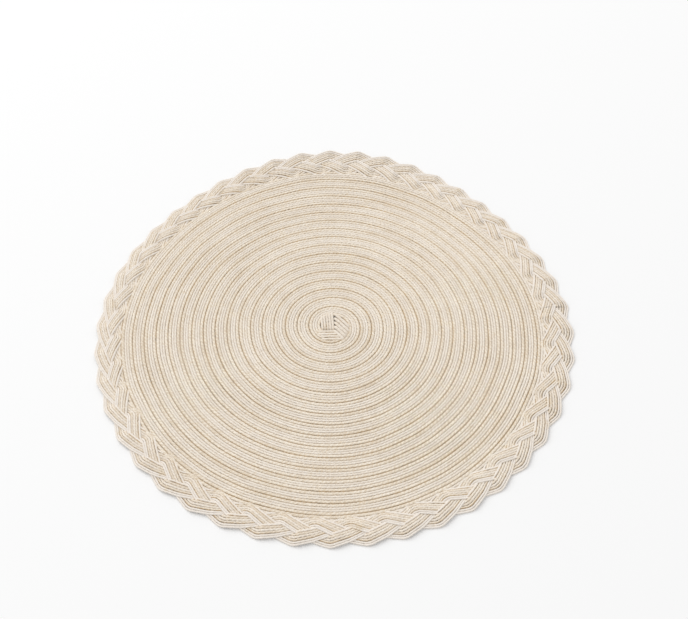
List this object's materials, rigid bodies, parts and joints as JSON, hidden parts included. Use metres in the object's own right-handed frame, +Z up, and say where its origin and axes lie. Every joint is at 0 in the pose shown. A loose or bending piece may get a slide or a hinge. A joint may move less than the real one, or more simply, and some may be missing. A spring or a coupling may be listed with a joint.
{
  "type": "placemat",
  "caption": "Round yarn placemat: a flat ribbed spiral of cream yarn band wound from a folded centre, with a scalloped three-strand plait round the edge.",
  "frame": {"origin": "centre of the winding, on the surface that the mat lies on", "axes": "+Z up, out of the mat's upper face; +X to the right and +Y away from the viewer of the picture"},
  "size_m": [0.3867, 0.3889, 0.0043],
  "materials": {
    "wound_yarn": "matt cotton yarn, cream with thin tan lines between the turns",
    "plait_yarn": "matt cotton yarn, cream with a pale grey edge yarn and a tan line"
  },
  "bodies": {
    "root": {"wound_field": "wound_yarn", "plait_strand_1": "plait_yarn", "plait_strand_2": "plait_yarn", "plait_strand_3": "plait_yarn"}
  },
  "joints": []
}
